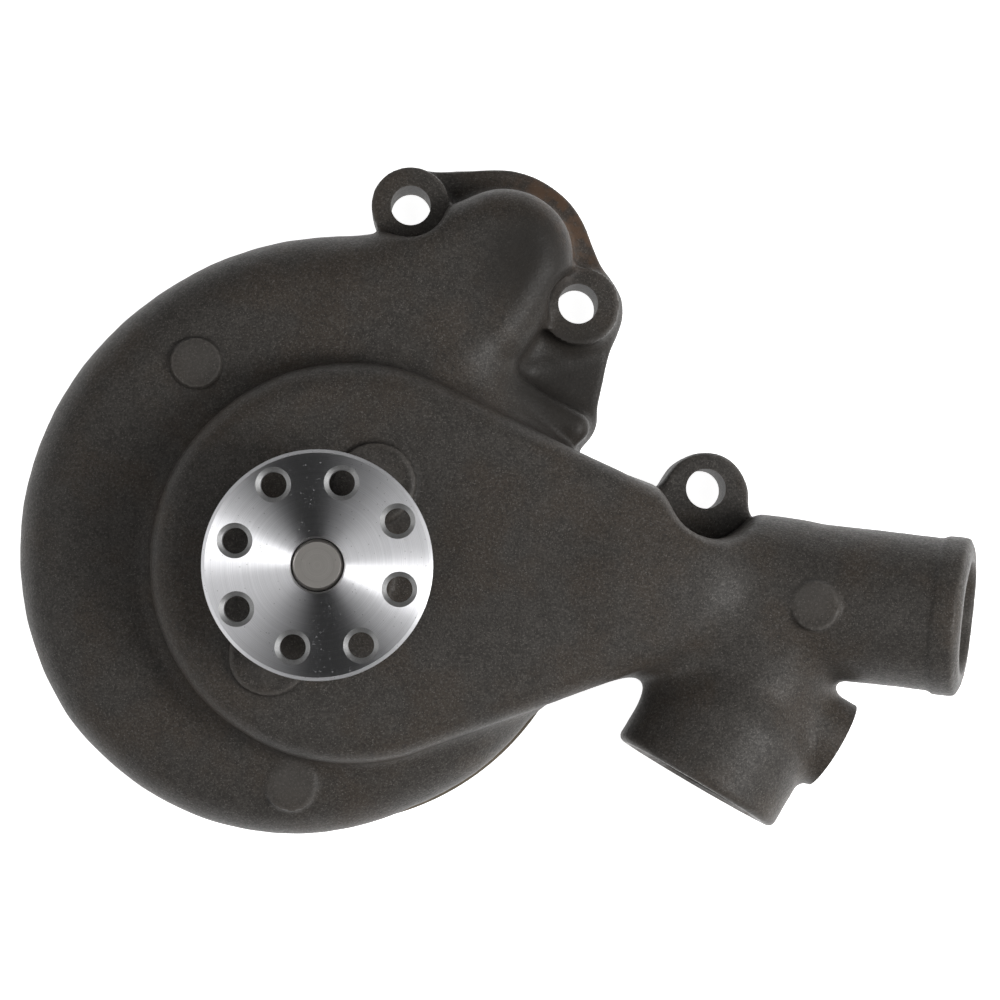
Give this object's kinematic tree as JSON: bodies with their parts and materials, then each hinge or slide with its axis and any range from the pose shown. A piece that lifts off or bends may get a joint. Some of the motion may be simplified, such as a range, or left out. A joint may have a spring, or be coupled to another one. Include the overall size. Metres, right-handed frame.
{
  "type": "water pump",
  "caption": "Engine coolant pump with a cast-iron scroll housing, an angled hose nipple, two round side ports, bolt ears and a bare pulley hub on its shaft.",
  "frame": {"origin": "on the shaft axis, in the rear mounting plane, at the middle of the rear cover's back", "axes": "+Z along the shaft towards the pulley, +X roughly towards the hose nipple, +Y towards the discharge flange"},
  "size_m": [0.3143, 0.2217, 0.0805],
  "materials": {
    "cast_iron": "sandy raw casting, dark grey-brown, light rust on edges",
    "impeller_iron": "raw casting with turned faces",
    "cover_steel": "dark phosphated steel plate",
    "gasket_paper": "dark fibre gasket",
    "turned_steel": "bright, with fine turning marks",
    "ground_steel": "ground",
    "bearing_steel": "ground and polished",
    "cage_plastic": "glass-filled nylon",
    "seal_rubber": "moulded, matt",
    "seal_brass": "drawn",
    "spring_steel": "drawn wire",
    "carbon": "lapped carbon graphite",
    "ceramic": "lapped white ceramic",
    "screw_zinc": "zinc plated"
  },
  "bodies": {
    "housing": {"pump_housing": "cast_iron", "rear_cover": "cover_steel", "cover_gasket": "gasket_paper", "cover_screw_1": "screw_zinc", "cover_screw_2": "screw_zinc", "cover_screw_3": "screw_zinc", "cover_screw_4": "screw_zinc", "cover_screw_5": "screw_zinc", "cover_screw_6": "screw_zinc", "cover_screw_7": "screw_zinc", "cover_screw_8": "screw_zinc", "bearing_outer_ring": "bearing_steel", "front_bearing_seal": "seal_rubber", "rear_bearing_seal": "seal_rubber", "seal_case": "seal_brass", "seal_spring": "spring_steel", "seal_bellows": "seal_rubber"},
    "rotor": {"pump_shaft": "ground_steel", "pulley_hub": "turned_steel", "impeller": "impeller_iron", "slinger": "seal_rubber", "ceramic_seat": "ceramic", "seat_boot": "seal_rubber"},
    "rear_ball_row": {"rear_ball_cage": "cage_plastic", "rear_ball_1": "bearing_steel", "rear_ball_2": "bearing_steel", "rear_ball_3": "bearing_steel", "rear_ball_4": "bearing_steel", "rear_ball_5": "bearing_steel", "rear_ball_6": "bearing_steel", "rear_ball_7": "bearing_steel"},
    "front_ball_row": {"front_ball_cage": "cage_plastic", "front_ball_1": "bearing_steel", "front_ball_2": "bearing_steel", "front_ball_3": "bearing_steel", "front_ball_4": "bearing_steel", "front_ball_5": "bearing_steel", "front_ball_6": "bearing_steel", "front_ball_7": "bearing_steel"},
    "seal_face": {"carbon_ring": "carbon"}
  },
  "joints": [
    {"name": "shaft_spin", "type": "hinge", "parent": "housing", "child": "rotor", "pos_m": [0, 0, 0.04], "axis": [0, 0, 1], "continuous": true},
    {"name": "rear_ball_row_orbit", "type": "hinge", "parent": "housing", "child": "rear_ball_row", "pos_m": [0, 0, 0.041], "axis": [0, 0, 1], "continuous": true},
    {"name": "front_ball_row_orbit", "type": "hinge", "parent": "housing", "child": "front_ball_row", "pos_m": [0, 0, 0.057], "axis": [0, 0, 1], "continuous": true},
    {"name": "seal_face_slide", "type": "slide", "parent": "housing", "child": "seal_face", "axis": [0, 0, 1], "range_m": [0, 0.001], "stiffness_N_per_m": 50, "springref_m": -0.001, "deforming": ["seal_spring", "seal_bellows"]}
  ],
  "couplings": [
    {"joint": "rear_ball_row_orbit", "follows": "shaft_spin", "ratio": 0.3396},
    {"joint": "front_ball_row_orbit", "follows": "shaft_spin", "ratio": 0.3396}
  ]
}
